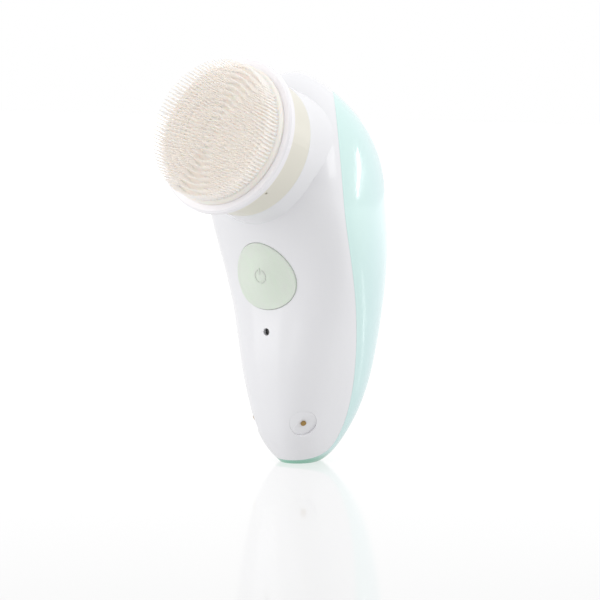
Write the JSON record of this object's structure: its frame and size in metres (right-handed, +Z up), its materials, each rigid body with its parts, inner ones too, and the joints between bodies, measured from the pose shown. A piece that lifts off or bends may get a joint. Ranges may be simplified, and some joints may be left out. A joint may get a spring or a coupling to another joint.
{
  "type": "facial cleansing brush",
  "caption": "Handheld powered facial cleansing brush: egg-shaped two-shell grip with a tilted round bristle head, push button and charging pins.",
  "frame": {"origin": "centre of the small flat sole at the foot of the grip", "axes": "+Z up along the grip; -Y is the user side with the button; X = 0 is the mirror plane"},
  "size_m": [0.0562, 0.0952, 0.1413],
  "materials": {
    "white_shell": "gloss",
    "mint_shell": "gloss",
    "cream_collar": "gloss",
    "white_head": "gloss",
    "silicone": "matte",
    "bristle_field": "matte",
    "seal_rubber": "matte",
    "button_rubber": "satin",
    "engineering_plastic": "matte",
    "gear_plastic": "satin",
    "dark_plastic": "satin",
    "board": "satin",
    "steel": "satin",
    "magnet": "matte",
    "bronze": "satin",
    "gold": "polished",
    "cell": "satin",
    "red_wire": "satin",
    "black_wire": "satin",
    "lens": "gloss"
  },
  "bodies": {
    "housing": {"front_shell": "white_shell", "rear_cover": "mint_shell", "shell_gasket": "seal_rubber", "neck_collar": "cream_collar", "collar_seal": "seal_rubber", "shaft_seal": "seal_rubber", "front_bearing": "bronze", "rear_bearing": "bronze", "idler_pin": "steel", "gearbox_housing": "engineering_plastic", "gearbox_cover": "engineering_plastic", "gearbox_screws": "steel", "motor_screws": "steel", "motor_can": "steel", "motor_magnets": "magnet", "motor_end_cap": "dark_plastic", "motor_terminals": "bronze", "button_frame": "engineering_plastic", "tact_switch": "dark_plastic", "indicator_lens": "lens", "indicator_led": "gear_plastic", "inner_frame": "engineering_plastic", "frame_screws": "steel", "circuit_board": "board", "board_screws": "steel", "board_components": "dark_plastic", "battery_cell": "cell", "battery_tabs": "steel", "contact_ring_right": "white_head", "contact_ring_left": "white_head", "charging_contact_right": "gold", "charging_contact_left": "gold", "contact_lead_right": "red_wire", "contact_lead_left": "black_wire", "motor_lead_right": "red_wire", "motor_lead_left": "black_wire"},
    "output_spindle": {"spindle": "steel", "output_gear": "gear_plastic"},
    "brush_head": {"head_carrier": "white_head", "bristle_pad": "silicone", "bristles": "bristle_field", "hub_insert": "gear_plastic", "head_clip": "steel"},
    "compound_gear_body": {"compound_gear": "gear_plastic"},
    "motor_rotor": {"motor_shaft": "steel", "motor_armature": "steel", "motor_pinion": "bronze"},
    "button": {"power_button": "button_rubber", "power_symbol": "button_rubber"},
    "plunger": {"switch_plunger": "dark_plastic"}
  },
  "joints": [
    {"name": "spindle_spin", "type": "hinge", "parent": "housing", "child": "output_spindle", "pos_m": [0, -0.0437, 0.1165], "axis": [0, -0.9478, 0.319], "continuous": true},
    {"name": "head_release", "type": "slide", "parent": "output_spindle", "child": "brush_head", "axis": [0, -0.9478, 0.319], "range_m": [0, 0.012]},
    {"name": "compound_gear_spin", "type": "hinge", "parent": "housing", "child": "compound_gear_body", "pos_m": [0, -0.03971, 0.12835], "axis": [0, -0.9478, 0.319], "continuous": true},
    {"name": "rotor_spin", "type": "hinge", "parent": "housing", "child": "motor_rotor", "pos_m": [0, -0.0437, 0.1165], "axis": [0, -0.9478, 0.319], "continuous": true},
    {"name": "button_press", "type": "slide", "parent": "housing", "child": "button", "axis": [0, 1, 0], "range_m": [0, 0.0006], "stiffness_N_per_m": 1500},
    {"name": "plunger_press", "type": "slide", "parent": "housing", "child": "plunger", "axis": [0, 1, 0], "range_m": [0, 0.0006]}
  ],
  "couplings": [
    {"joint": "compound_gear_spin", "follows": "spindle_spin", "ratio": -3.1667},
    {"joint": "rotor_spin", "follows": "spindle_spin", "ratio": 10.028},
    {"joint": "plunger_press", "follows": "button_press", "ratio": 1}
  ]
}
